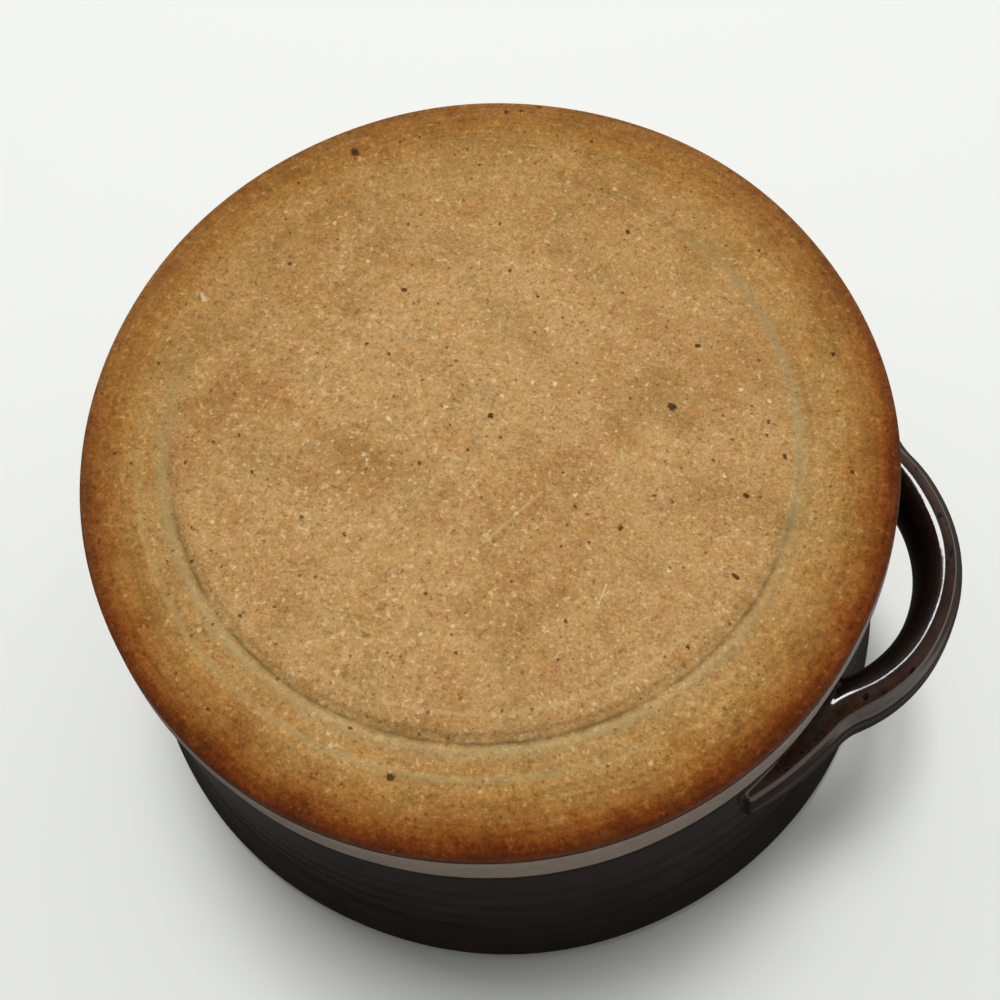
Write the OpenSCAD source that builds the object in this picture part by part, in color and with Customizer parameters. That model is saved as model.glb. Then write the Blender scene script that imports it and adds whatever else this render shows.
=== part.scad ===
// Stoneware crock bowl with one ear handle, in millimetres.
// It stands upright on its bare base: the origin is the middle of the base and the handle points along +X.

/* [Bowl] */
// Diameter of the bare base
base_d = 107; // [101:1:113]
// Diameter over the glazed lip
rim_d = 130; // [126:1:136]
// Height from the base to the top of the glazed rim
bowl_h = 64; // [60:1:70]
// Thickness of the clay wall above the foot band
wall_t = 5; // [4:0.5:6]
// Thickness of the clay floor
floor_t = 6.5; // [5:0.5:8]
// Radius of the hollow corner between the inner wall and the floor
corner_r = 12; // [8:1:16]

/* [Lip] */
// Radius of the rounded clay lip
lip_r = 2.9; // [2.5:0.1:3.3]
// Slope, from upright, at which the wall runs into the lip
lip_turn = 30; // [26:1:36]
// Radius of the hollow flare below the lip
flare_r = 25; // [18:1:30]

/* [Base] */
// Diameter of the ring turned into the base
ring_d = 82; // [72:0.5:88]
// Width of the turned ring
ring_w = 2.4; // [1.6:0.1:3.4]
// Depth of the turned ring
ring_deep = 0.5; // [0.3:0.1:0.8]
// Slope of the bevel round the base
bevel_a = 9; // [6:1:14]
// Rise of the bevel
bevel_rise = 0.4; // [0.3:0.1:0.8]
// Radius of the worn edge between bevel and foot band
edge_r = 1; // [0.6:0.1:2]

/* [Foot band] */
// Height of the band that was trimmed at the foot
band_h = 14; // [11:0.5:17]
// Outward lean of the band
band_lean = 4.5; // [3:0.5:6]
// Height of the crease above the band
crease_h = 1; // [0.6:0.1:1.6]
// Depth of the crease
crease_deep = 0.35; // [0.2:0.05:0.5]

/* [Handle] */
// Width of the glazed strap, along the bowl's axis
strap_w = 12.5; // [10.5:0.5:14.5]
// Thickness of the glazed strap
strap_t = 5.6; // [5.2:0.2:6.6]
// Lean of the strap, which follows the wall
strap_tilt = 8; // [4:1:11]
// Share of the strap's thickness on its outer side
outer_share = 0.54; // [0.5:0.01:0.58]
// Share of its width that the strap loses to the ends of its tails
tail_taper = 0.18; // [0:0.02:0.3]
// Height of the strap's lower edge over the crease
strap_rise = 0.8; // [0.8:0.1:3]
// Finger room between the wall and the middle of the strap
finger_gap = 5.4; // [4.8:0.2:7]
// Radius of the ear along the middle of the strap
loop_r = 21.5; // [19.5:0.5:23.5]
// Radius of the bend from the ear to a tail
bend_r = 8.5; // [7:0.5:10]
// Radius of the tails along the middle of the strap
tail_r = 46; // [43:0.5:49]
// Angle from the middle of the handle to the end of a tail, round the bowl
tail_a = 36.5; // [34:0.5:39]
// How far a tail's end stands out from the glazed wall
tip_proud = 1.4; // [1:0.1:2]

/* [Coats] */
// Thickness of the glaze
glaze_t = 0.5; // [0.3:0.1:0.6]
// Height of the glaze line above the base
glaze_line = 3; // [2.5:0.25:5]
// Thickness of the glaze at its line
glaze_edge = 0.2; // [0.1:0.05:0.25]
// Height over which the glaze thickens
glaze_run = 2; // [1:0.25:3]
// Thickness of the slip under a tail
slip_t = 0.4; // [0.2:0.05:0.5]

/* [Hidden] */
$fn = 180;
// Sides of the strap's section, and stations along a tail, a bend and half of the ear
SIDES = 24;
TAIL_N = 12;
BEND_N = 6;
LOOP_N = 12;

// Points along an arc from angle a to angle b
function arc(c, r, a, b, n) = [for (i = [0:n]) let (t = a + (b - a) * i / n) c + r * [cos(t), sin(t)]];
// Unit vector to the outer side of a path at point i
function side(p, i) = let (d = p[i + 1] - p[i - 1]) [d.y, -d.x] / norm(d);
// A coat of thickness t on a path, with its own offsets at the first and last points
function coat(p, t, first, last) = concat(
    [p[0] + first],
    [for (i = [1:len(p) - 2]) p[i] + t * side(p, i)],
    [p[len(p) - 1] + last]
);
function reversed(p) = [for (i = [len(p) - 1:-1:0]) p[i]];

// Base: turned ring, bevel and worn edge
ring_r = ring_d / 2;
ring_tool_r = (ring_w * ring_w / 4 + ring_deep * ring_deep) / (2 * ring_deep);
ring_tool_a = asin(ring_w / 2 / ring_tool_r);
ring_c = [ring_r, ring_deep - ring_tool_r];
edge_c = [base_d / 2 - edge_r, bevel_rise + edge_r * cos(bevel_a)];
bevel_r = edge_c.x + edge_r * sin(bevel_a) - bevel_rise / tan(bevel_a);

// Foot band and crease
band_foot = edge_c + edge_r * [cos(band_lean), -sin(band_lean)];
function band_at(z) = [band_foot.x + (z - band_foot.y) * tan(band_lean), z];
band_top = band_at(band_h);
crease = band_top + [-crease_deep, crease_h * 0.4];
wall_foot = band_top + [crease_h * tan(band_lean), crease_h];

// The lip is a circle, and the flare below it is tangent to the lip and to the straight wall
lip_c = [rim_d / 2 - glaze_t - lip_r, bowl_h - glaze_t - lip_r];
flare_c = lip_c + (lip_r + flare_r) * [cos(lip_turn), -sin(lip_turn)];
to_flare = flare_c - wall_foot;
wall_lean = atan2(to_flare.x, to_flare.y) - asin(flare_r / norm(to_flare));
wall_len = sqrt(norm(to_flare) * norm(to_flare) - flare_r * flare_r);
wall_top = wall_foot + wall_len * [sin(wall_lean), cos(wall_lean)];
function wall_at(z) = wall_foot.x + (z - wall_foot.y) * tan(wall_lean);

// The inner wall is tangent to the lip and to the hollow corner
inner_foot = wall_foot - [wall_t / cos(wall_lean), 0];
to_lip = lip_c - inner_foot;
inner_lean = atan2(to_lip.x, to_lip.y) - asin(lip_r / norm(to_lip));
corner_z = floor_t + corner_r;
corner_x = inner_foot.x + (corner_z - inner_foot.y) * tan(inner_lean) - corner_r / cos(inner_lean);

// Profile paths, from the middle of the base to the lip and from the lip to the middle of the floor
base_path = concat(
    [[0, 0]],
    arc(ring_c, ring_tool_r, 90 + ring_tool_a, 90 - ring_tool_a, 8),
    [[bevel_r, 0]],
    arc(edge_c, edge_r, bevel_a - 90, -band_lean, 6)
);
glazed_path = concat(
    [band_at(glaze_line), band_at(glaze_line + glaze_run), band_top, crease, wall_foot],
    arc(flare_c, flare_r, 180 - wall_lean, 180 - lip_turn, 6),
    arc(lip_c, lip_r, -lip_turn + 8, 90, 12)
);
inner_path = concat(
    arc(lip_c, lip_r, 90, 180 - inner_lean, 8),
    arc([corner_x, corner_z], corner_r, -inner_lean, -90, 10),
    [[0, floor_t]]
);

// Plan of the handle: an ear, two bends and two tails, each an arc that is tangent to the next
handle_z = wall_foot.y + strap_rise + strap_w / 2;
wall_r = wall_at(handle_z);
tip_r = wall_r + glaze_t + tip_proud;
tail_c = tip_r * cos(tail_a) - sqrt(pow(tail_r + strap_t / 2, 2) - pow(tip_r * sin(tail_a), 2));
loop_c = wall_r + glaze_t + finger_gap + strap_t / 2 - loop_r;
span = loop_r + bend_r;
reach = loop_c - tail_c;
loop_a = acos((pow(tail_r + bend_r, 2) - reach * reach - span * span) / (2 * reach * span));
bend_c = [loop_c + span * cos(loop_a), span * sin(loop_a)];
root_a = atan2(bend_c.y, bend_c.x - tail_c);
tip_a = atan2(tip_r * sin(tail_a), tip_r * cos(tail_a) - tail_c);

// Stations along the strap from one tail's end to the other: x, y and the angle of its outer side
function half_plan(tip) = concat(
    [for (i = [0:TAIL_N]) let (a = tip + (root_a - tip) * i / TAIL_N)
        [tail_c + tail_r * cos(a), tail_r * sin(a), a]],
    [for (i = [1:BEND_N]) let (a = root_a + (loop_a - root_a) * i / BEND_N)
        [bend_c.x - bend_r * cos(a), bend_c.y - bend_r * sin(a), a]],
    [for (i = [1:LOOP_N]) let (a = loop_a * (1 - i / LOOP_N))
        [loop_c + loop_r * cos(a), loop_r * sin(a), a]]
);
function plan(tip) = let (h = half_plan(tip)) concat(
    h,
    [for (i = [len(h) - 2:-1:0]) [h[i].x, -h[i].y, -h[i].z]]
);

// Section of the strap: a flattened oval with a fuller outer face, leaned with the wall
function bulge(v) = sign(v) * pow(abs(v), 0.75);
function oval(w, t) = [for (i = [0:SIDES - 1]) let (a = 360 * (i + 0.5) / SIDES)
    [(cos(a) > 0 ? outer_share : 1 - outer_share) * t * bulge(cos(a)), w / 2 * bulge(sin(a))]];
function leaned(q) = [
    q.x * cos(strap_tilt) + q.y * sin(strap_tilt),
    q.y * cos(strap_tilt) - q.x * sin(strap_tilt)
];
// Share of the full width at station i of n, which eases from the ear to the ends of the tails
function taper(i, n) = 1 - tail_taper * pow(abs(2 * i / (n - 1) - 1), 3);

// The strap lofted at width w and thickness t, with its ends carried on by more
module strap(w, t, more = 0) {
    stations = plan(tip_a + more / tail_r * 180 / PI);
    n = len(stations);
    points = [for (k = [0:n - 1]) for (o = oval(w * taper(k, n), t)) let (s = stations[k], q = leaned(o))
        [s.x + q.x * cos(s.z), s.y + q.x * sin(s.z), handle_z + q.y]];
    ends = [
        [for (i = [0:SIDES - 1]) i],
        [for (i = [SIDES - 1:-1:0]) (n - 1) * SIDES + i]
    ];
    skin = [for (k = [0:n - 2]) for (i = [0:SIDES - 1]) for (half = [0, 1])
        let (a = k * SIDES + i, b = k * SIDES + (i + 1) % SIDES)
            half == 0 ? [a, a + SIDES, b + SIDES] : [a, b + SIDES, b]];
    polyhedron(points, concat(ends, skin));
}

module clay_strap() {
    strap(strap_w - 2 * glaze_t, strap_t - 2 * glaze_t);
}

module glazed_strap() {
    strap(strap_w, strap_t, glaze_t);
}

// The straight wall as a solid cone, grown by d
module wall_cone(d) {
    grow = d / cos(wall_lean);
    rotate_extrude()
        polygon([
            [0, band_h],
            [wall_at(band_h) + grow, band_h],
            [wall_at(wall_top.y) + grow, wall_top.y],
            [0, wall_top.y]
        ]);
}

// Thrown and trimmed stoneware bowl
module bowl_body() {
    color("tan")
        rotate_extrude()
            polygon(concat(base_path, glazed_path, inner_path));
}

// Pulled strap, seated on the slip
module handle_strap() {
    color("peru")
        difference() {
            clay_strap();
            wall_cone(slip_t);
        }
}

// Slip between the tails of the strap and the wall
module handle_slip() {
    color("wheat")
        difference() {
            intersection() {
                clay_strap();
                wall_cone(slip_t);
            }
            wall_cone(0);
        }
}

// Glaze on the outside, open where the handle is luted on
module outer_glaze() {
    color("saddlebrown")
        difference() {
            rotate_extrude()
                polygon(concat(
                    glazed_path,
                    reversed(coat(glazed_path, glaze_t, [glaze_edge, 0], [0, glaze_t]))
                ));
            glazed_strap();
        }
}

// Liner glaze, from the top of the lip over the floor
module inner_glaze() {
    color("sienna")
        rotate_extrude()
            polygon(concat(
                inner_path,
                reversed(coat(inner_path, glaze_t, [0, glaze_t], [0, glaze_t]))
            ));
}

// Glaze round the strap, down to the wall
module handle_glaze() {
    color("brown")
        difference() {
            glazed_strap();
            clay_strap();
            wall_cone(0);
        }
}

bowl_body();
handle_strap();
handle_slip();
outer_glaze();
inner_glaze();
handle_glaze();
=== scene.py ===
"""Looks of a stoneware crock bowl with one ear handle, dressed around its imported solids.

The bowl stands upright on its bare base in the shared frame. The camera looks up at the base from below, so a pale
cloth lies against the rim for that view and a pale floor lies under the base for the views from above. Each of the
two shows from one side only.
"""

import logging
import math
from collections.abc import Callable, Sequence
from dataclasses import dataclass
from enum import Enum
from functools import cached_property

import bpy
from bpy.types import Material, Modifier, NodeSocket, Object, World
from mathutils import Matrix, Vector


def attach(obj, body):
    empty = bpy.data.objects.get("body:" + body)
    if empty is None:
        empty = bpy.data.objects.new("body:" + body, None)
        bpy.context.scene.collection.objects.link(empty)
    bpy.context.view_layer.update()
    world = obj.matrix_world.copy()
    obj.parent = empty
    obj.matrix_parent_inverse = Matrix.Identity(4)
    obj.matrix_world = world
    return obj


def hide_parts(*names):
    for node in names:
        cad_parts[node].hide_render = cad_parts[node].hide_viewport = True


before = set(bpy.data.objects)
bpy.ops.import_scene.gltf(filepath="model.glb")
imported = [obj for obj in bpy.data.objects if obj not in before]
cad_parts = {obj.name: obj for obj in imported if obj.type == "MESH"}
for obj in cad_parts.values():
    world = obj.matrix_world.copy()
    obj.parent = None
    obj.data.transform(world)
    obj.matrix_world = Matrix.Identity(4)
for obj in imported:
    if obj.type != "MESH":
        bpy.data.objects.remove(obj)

MM = 0.001
ROOT = "root"
# Where the noise of the patterns starts, in metres: off the axis, where its layers would line up into a star
GRAIN_START = (0.37, 0.21, 0.19)
# Path of the turned ring: middle radius, swell along the handle and shift away from it, in millimetres
RING_R, RING_OVAL, RING_SHIFT = 40.6, 0.35, 0.3
# Stray of the hand from true: width of a swelling and range of the move, in millimetres
HAND_SIZE, HAND_STRAY = 38.0, 0.5
# Half heights over which the glaze thins at its line, at the lip and at the strap's edges, in millimetres
LINE_THIN, LIP_THIN, STRAP_THIN = 1.2, 1.5, 4.2
# How far the satin coat reaches over the foot band, in millimetres
SATIN_OVER = 0.2
# Nearly all of a noise lies between these values
NOISE_SPAN = (0.25, 0.75)
# Edges flatter than this are shaded smooth, in degrees
SMOOTH_BELOW = 40.0
# A smaller share of a relief is left out
LEAST_SHARE = 0.001
# Points closer than this are one point, in metres
SAME_POINT = 1e-6
LOG = logging.getLogger("crock_bowl")

Point = tuple[float, float]
Place = tuple[float, float, float]
Colour = tuple[float, float, float, float]
Fade = tuple[float, float, float, float]
Value = NodeSocket | str | float | Sequence[float]
Weight = Callable[[float, float, float], float]


class Axis(Enum):
    """Directions in which a relief moves the clay."""

    UP = "Z"
    OUT = "NORMAL"


class Noise(Enum):
    """Kinds of noise, from soft swellings to sharp dust."""

    RIPPLE = {"Detail": 2.0, "Roughness": 0.5}
    SOFT = {"Detail": 3.0, "Roughness": 0.5}
    GRIT = {"Detail": 3.0, "Roughness": 0.6}
    FLECK = {"Detail": 3.0, "Roughness": 0.7}
    CLOUD = {"Detail": 4.0, "Roughness": 0.6}
    HAZE = {"Detail": 4.0, "Roughness": 0.65}
    DUST = {"Detail": 4.0, "Roughness": 0.7}


class Ray(Enum):
    """Kinds of ray that a part of the stage is made for."""

    CAMERA = "Is Camera Ray"
    GLOSSY = "Is Glossy Ray"


def linear(hex_colour: str) -> Colour:
    """Turns an sRGB hex colour into linear light.

    Args:
        hex_colour: colour as #RRGGBB.

    Returns:
        Red, green, blue and a full alpha.
    """
    parts = [int(hex_colour[i : i + 2], 16) / 255 for i in (1, 3, 5)]
    red, green, blue = (p / 12.92 if p <= 0.04045 else ((p + 0.055) / 1.055) ** 2.4 for p in parts)
    return red, green, blue, 1.0


class Nodes:
    """A node tree in the making."""

    def __init__(self, owner: Material | World) -> None:
        """Starts with an empty tree.

        Args:
            owner: the material or world that has the tree.
        """
        owner.use_nodes = True
        self.tree = owner.node_tree
        self.tree.nodes.clear()

    def add(
        self, kind: str, inputs: Sequence[Value] | dict[str | int, Value] = (), out: str | int = 0, **settings: object
    ) -> NodeSocket | None:
        """Adds a node with its settings, values and links.

        Args:
            kind: the node's type, without the word that all of them start with.
            inputs: values by the name or number of their socket, or in order; a socket is linked, and a text is a
                hex colour.
            out: name or number of the wanted output.
            settings: properties of the node; "stops" fills a colour ramp with pairs of place and hex colour.

        Returns:
            The wanted output, if the node has any.
        """
        node = self.tree.nodes.new("ShaderNode" + kind)
        for place, _ in settings.get("stops", ())[2:]:
            node.color_ramp.elements.new(place)
        for name, value in settings.items():
            if name == "stops":
                for element, (place, colour) in zip(node.color_ramp.elements, value):
                    element.position, element.color = place, linear(colour)
            else:
                setattr(node, name, value)
        for key, value in inputs.items() if isinstance(inputs, dict) else enumerate(inputs):
            if isinstance(value, NodeSocket):
                self.tree.links.new(value, node.inputs[key])
            else:
                node.inputs[key].default_value = linear(value) if isinstance(value, str) else value
        return node.outputs[out] if node.outputs else None


@dataclass(frozen=True)
class Speck:
    """Grains of one kind in a clay or glaze, by their spacing and size in millimetres.

    The edge of a grain frays some times along its width, and fades out between two shares of its radius.
    """

    spacing: float
    size: float
    share: float
    colour: str
    strength: float = 1.0
    frays: float = 1.6
    fades: Point = (0.7, 1.2)


@dataclass(frozen=True)
class Tone:
    """Lighter and darker grit: its size in millimetres, its noise, and the darkest and lightest share."""

    size: float
    noise: Noise
    low: float
    high: float


@dataclass(frozen=True)
class Drift:
    """A tint that comes and goes: size of a patch in millimetres, and the noise between which it comes in."""

    size: float
    tint: str
    start: float
    end: float
    strength: float


@dataclass(frozen=True)
class Ring:
    """Painted shade and highlight of the groove: a darker or paler line round the base, in millimetres from the
    turned ring, clearest on the side that it faces.

    Its place frays by a share of its half width.
    """

    offset: float
    half_width: float
    colour: str
    strength: float
    facing: float
    fades: Point
    fray: float = 1.2


@dataclass(frozen=True)
class Mark:
    """A spot or scratch on the base, from one place to another, in millimetres.

    Its edge frays by a share of its radius, and fades out between two shares of it.
    """

    start: Point
    end: Point
    radius: float
    colour: str = "#361F10"
    strength: float = 0.88
    fray: float = 1.6
    fades: Point = (1.3, 2.0)


class Surface(Nodes):
    """The nodes of a finish on the bowl, with the places that its patterns go by."""

    def __init__(self, name: str) -> None:
        """Starts an empty material.

        Args:
            name: the material's name.
        """
        self.material = bpy.data.materials.new(name)
        super().__init__(self.material)

    @cached_property
    def place(self) -> NodeSocket:
        """Object coordinates."""
        return self.add("TexCoord", out="Object")

    @cached_property
    def grain(self) -> NodeSocket:
        """Coordinates for noise."""
        return self.add("VectorMath", (self.place, GRAIN_START), operation="ADD")

    @cached_property
    def height(self) -> NodeSocket:
        """Height over the base."""
        return self.add("SeparateXYZ", (self.place,), "Z")

    @cached_property
    def flat(self) -> NodeSocket:
        """Object coordinates without the height."""
        return self.add("VectorMath", (self.place, (1, 1, 0)), operation="MULTIPLY")

    @cached_property
    def radius(self) -> NodeSocket:
        """Distance from the bowl's axis."""
        return self.add("VectorMath", (self.flat,), "Value", operation="LENGTH")

    @cached_property
    def outward(self) -> NodeSocket:
        """Unit vector from the bowl's axis."""
        return self.add("VectorMath", (self.flat,), operation="NORMALIZE")

    def side(self, azimuth: float, fades: Point) -> NodeSocket:
        """Eases from 0 on one side of the bowl to 1 on the side of an azimuth.

        Args:
            azimuth: the clear side, in degrees.
            fades: cosines of the angle from the azimuth at which the value is 0 and 1.

        Returns:
            Share from 0 to 1.
        """
        angle = math.radians(azimuth)
        way = (math.cos(angle), math.sin(angle), 0)
        lean = self.add("VectorMath", (self.outward, way), "Value", operation="DOT_PRODUCT")
        return self.add("MapRange", (lean, *fades), interpolation_type="SMOOTHSTEP")

    def scatter(self, colour: NodeSocket, speck: Speck) -> NodeSocket:
        """Scatters grains of one kind over a colour.

        Args:
            colour: colour so far.
            speck: the kind of grain.

        Returns:
            Colour with the grains.
        """
        noise = {"Vector": self.grain, "Scale": speck.frays / (speck.size * MM), "Detail": 1.0}
        fray = self.add("TexNoise", noise, "Color")
        frayed = self.add("VectorMath", (fray, (speck.size * MM,) * 3, self.grain), operation="MULTIPLY_ADD")
        cells = self.add("TexVoronoi", {"Vector": frayed, "Scale": 1 / (speck.spacing * MM)}, "Distance")
        rim = speck.size / speck.spacing / 2
        inside = self.add("MapRange", (cells, *(rim * share for share in speck.fades), speck.strength, 0.0))
        lot = self.add("SeparateColor", (cells.node.outputs["Color"],), "Red")
        drawn = self.add("Math", (lot, speck.share), operation="LESS_THAN")
        amount = self.add("Math", (inside, drawn), operation="MULTIPLY")
        return self.add("Mix", {0: amount, 6: colour, 7: speck.colour}, 2, data_type="RGBA")

    def finish(self, shading: dict[str, Value], relief: NodeSocket, strength: float, depth: float) -> Material:
        """Adds the shader with a fine relief.

        Args:
            shading: values of the shader.
            relief: height of the relief, from 0 to 1.
            strength: strength of the relief.
            depth: depth of the relief, in millimetres.

        Returns:
            The finished material.
        """
        bump = self.add("Bump", {"Strength": strength, "Distance": depth * MM, "Height": relief})
        shader = self.add("BsdfPrincipled", {**shading, "Normal": bump})
        self.add("OutputMaterial", {"Surface": shader})
        return self.material


@dataclass(frozen=True)
class ToastedStoneware:
    """Bare stoneware, turned and fired in reduction: matt, gritty, tan, and toasted to rust towards the glaze.

    The toast is a pair of ramps of tints by radius in millimetres, a strong one on the side of an azimuth and a mild
    one on the other side. Its frays are pairs of a size and a share of the ramps' reach. Sizes are in millimetres.
    """

    name: str = "stoneware_bare_turned"
    body: str = "#BC9562"
    rough: float = 0.72
    ior: float = 1.5
    specular: float = 0.18
    grit: float = 0.55
    grit_deep: float = 0.25
    grit_strength: float = 0.5
    streak_gap: float = 0.6
    streak_turns: float = 2.2
    streak_reach: Point = (38.0, 50.0)
    streak_strength: float = 0.68
    ring_patch: float = 5.0
    ring_patchy: Fade = (0.35, 0.6, 0.35, 1.0)
    ring_fray: float = 1.0
    mark_fray: float = 0.7
    toast_azimuth: float = 60.0
    toast_fades: Point = (-0.75, 0.45)
    toast_frays: tuple[Point, ...] = ((10.0, 0.122), (1.1, 0.089))
    strong: tuple[tuple[float, str], ...] = (
        (22.0, "#FCFAF4"),
        (36.0, "#FCFAF4"),
        (41.0, "#F6F2E4"),
        (45.0, "#EEE6CC"),
        (47.0, "#DFCFAA"),
        (48.5, "#D5BD94"),
        (50.0, "#C8A373"),
        (51.0, "#BA8A54"),
        (52.0, "#996239"),
        (53.5, "#7A4D32"),
    )
    mild: tuple[tuple[float, str], ...] = (
        (22.0, "#FCFAF4"),
        (32.0, "#F3EEE0"),
        (41.0, "#EDE5D0"),
        (45.0, "#E8DDC2"),
        (47.0, "#DDCBA4"),
        (48.5, "#D3BC8E"),
        (51.0, "#C9AE84"),
        (53.5, "#B2926A"),
    )
    drifts: tuple[Drift, ...] = (
        Drift(13.0, "#E2CDB0", 0.48, 0.68, 0.55),
        Drift(9.0, "#D9DCCB", 0.50, 0.66, 0.55),
        Drift(5.0, "#F2D3A4", 0.52, 0.66, 0.40),
    )
    tones: tuple[Tone, ...] = (Tone(1.6, Noise.FLECK, 0.86, 1.14), Tone(0.42, Noise.DUST, 0.62, 1.38))
    flecks: tuple[Drift, ...] = (
        Drift(0.9, "#E2CCA0", 0.58, 0.68, 0.62),
        Drift(0.9, "#7C572F", 0.42, 0.33, 0.60),
    )
    grains: tuple[Speck, ...] = (
        Speck(1.5, 0.40, 0.35, "#DDC59A", 0.6),
        Speck(3.4, 0.62, 0.28, "#E6D2A8", 0.75),
    )
    specks: tuple[Speck, ...] = (
        Speck(1.1, 0.36, 0.35, "#7A5630", 0.6),
        Speck(1.7, 0.46, 0.30, "#5E4024", 0.75),
        Speck(3.0, 0.55, 0.35, "#4A2F1A", 0.85),
        Speck(6.5, 0.80, 0.40, "#38230F", 0.9),
    )
    # Painted shade and highlight of the groove round the base, as darker and paler lines
    ring_shade_and_highlight: tuple[Ring, ...] = (
        Ring(0.1, 1.1, "#A69A74", 0.70, -25.0, (0.72, 0.92)),
        Ring(1.5, 0.8, "#8F7040", 0.40, -5.0, (0.84, 0.97)),
        Ring(1.1, 1.5, "#A69A74", 0.62, 95.0, (-0.2, 0.5)),
        Ring(0.1, 0.75, "#6B5836", 0.60, 78.0, (-0.1, 0.55)),
        Ring(0.1, 0.32, "#5F4C2C", 0.5, 80.0, (0.1, 0.7)),
        Ring(0.0, 0.8, "#8E7A50", 0.35, -110.0, (-0.3, 0.8)),
        Ring(4.4, 0.8, "#C9B78E", 0.50, 105.0, (0.35, 0.85)),
        Ring(-3.3, 0.5, "#CDB488", 0.4, 70.0, (0.5, 0.95)),
    )
    marks: tuple[Mark, ...] = (
        Mark((22.9, -9.5), (23.0, -9.4), 0.60),
        Mark((-30.8, -37.8), (-30.5, -37.5), 0.62),
        Mark((2.2, 45.2), (2.4, 45.3), 0.55),
        Mark((24.1, -19.0), (24.3, -19.0), 0.32),
        Mark((34.5, 0.1), (34.8, 0.2), 0.32),
        Mark((38.2, -6.5), (38.3, -6.2), 0.29),
        Mark((35.3, 10.7), (35.8, 11.0), 0.29),
        Mark((-16.6, -17.4), (-16.4, -17.4), 0.36),
        Mark((10.9, -34.1), (11.0, -33.9), 0.36),
        Mark((4.6, 14.8), (9.8, 6.3), 0.24, "#D2BA8C", 0.3),
        Mark((20.7, 16.0), (20.4, 18.8), 0.14, "#E0CDA4", 0.5),
        Mark((-43.8, -9.8), (-43.1, -9.0), 0.3, "#D2C3A2", 0.65),
    )

    def material(self) -> Material:
        """Builds the finish.

        Returns:
            The node material.
        """
        clay = Surface(self.name)
        colour = self._mottle(clay)
        for speck in self.grains:
            colour = clay.scatter(colour, speck)
        colour = self._paint_ring_shade_and_highlight(clay, colour)
        colour = self._streak(clay, colour)
        colour = self._toast(clay, colour)
        for speck in self.specks:
            colour = clay.scatter(colour, speck)
        colour = self._marks(clay, colour)
        grit = clay.add("TexNoise", {"Vector": clay.grain, "Scale": 1 / (self.grit * MM), **Noise.GRIT.value})
        shading = {
            "Base Color": colour,
            "Roughness": self.rough,
            "IOR": self.ior,
            "Specular IOR Level": self.specular,
        }
        return clay.finish(shading, grit, self.grit_strength, self.grit_deep)

    def _mottle(self, clay: Surface) -> NodeSocket:
        """Lets the tone of the clay drift over centimetres, and adds its grit and irregular flecks.

        Args:
            clay: the nodes.

        Returns:
            Colour of the clay.
        """
        colour: Value = self.body
        for drift in self.drifts:
            cloud = clay.add(
                "TexNoise", {"Vector": clay.grain, "Scale": 1 / (drift.size * MM), **Noise.CLOUD.value}
            )
            amount = clay.add("MapRange", (cloud, drift.start, drift.end, 0.0, drift.strength))
            colour = clay.add(
                "Mix", {0: amount, 6: colour, 7: drift.tint}, 2, data_type="RGBA", blend_type="MULTIPLY"
            )
        for tone in self.tones:
            cloud = clay.add(
                "TexNoise", {"Vector": clay.grain, "Scale": 1 / (tone.size * MM), **tone.noise.value}
            )
            share = clay.add("MapRange", (cloud, *NOISE_SPAN, tone.low, tone.high))
            colour = clay.add("VectorMath", {0: colour, "Scale": share}, operation="SCALE")
        for fleck in self.flecks:
            cloud = clay.add(
                "TexNoise", {"Vector": clay.grain, "Scale": 1 / (fleck.size * MM), **Noise.FLECK.value}
            )
            amount = clay.add("MapRange", (cloud, fleck.start, fleck.end, 0.0, fleck.strength))
            colour = clay.add("Mix", {0: amount, 6: colour, 7: fleck.tint}, 2, data_type="RGBA")
        return colour

    def _toast(self, clay: Surface, colour: NodeSocket) -> NodeSocket:
        """Toasts the clay towards the edge, far more on one side than on the other.

        Args:
            clay: the nodes.
            colour: colour so far.

        Returns:
            Toasted colour.
        """
        inner, outer = self.strong[0][0], self.strong[-1][0]
        share = clay.add("MapRange", (clay.radius, inner * MM, outer * MM))
        for size, reach in self.toast_frays:
            cloud = clay.add("TexNoise", {"Vector": clay.grain, "Scale": 1 / (size * MM), **Noise.HAZE.value})
            centred = clay.add("Math", (cloud, 0.5), operation="SUBTRACT")
            share = clay.add("Math", (centred, reach, share), operation="MULTIPLY_ADD")
        mild, strong = (
            clay.add("ValToRGB", (share,), stops=tuple(((r - inner) / (outer - inner), tint) for r, tint in ramp))
            for ramp in (self.mild, self.strong)
        )
        side = clay.side(self.toast_azimuth, self.toast_fades)
        tint = clay.add("Mix", {0: side, 6: mild, 7: strong}, 2, data_type="RGBA")
        return clay.add("Mix", {0: 1.0, 6: colour, 7: tint}, 2, data_type="RGBA", blend_type="MULTIPLY")

    def _streak(self, clay: Surface, colour: NodeSocket) -> NodeSocket:
        """Draws the fine arcs that the turning tool left, stronger towards the edge.

        Args:
            clay: the nodes.
            colour: colour so far.

        Returns:
            Streaked colour.
        """
        rows = clay.add("Math", (clay.radius, self.streak_gap * MM), operation="DIVIDE")
        deep = clay.add("CombineXYZ", {"Z": rows})
        turns = (self.streak_turns, self.streak_turns, 0)
        along = clay.add("VectorMath", (clay.outward, turns, deep), operation="MULTIPLY_ADD")
        lines = clay.add("TexNoise", {"Vector": along, "Scale": 1.0, **Noise.SOFT.value})
        start, full = (radius * MM for radius in self.streak_reach)
        reach = clay.add(
            "MapRange", (clay.radius, start, full, 0.0, self.streak_strength), interpolation_type="SMOOTHSTEP"
        )
        centred = clay.add("Math", (lines, 0.5), operation="SUBTRACT")
        tone = clay.add("Math", (centred, reach, 1.0), operation="MULTIPLY_ADD")
        return clay.add("VectorMath", {0: colour, "Scale": tone}, operation="SCALE")

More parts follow.
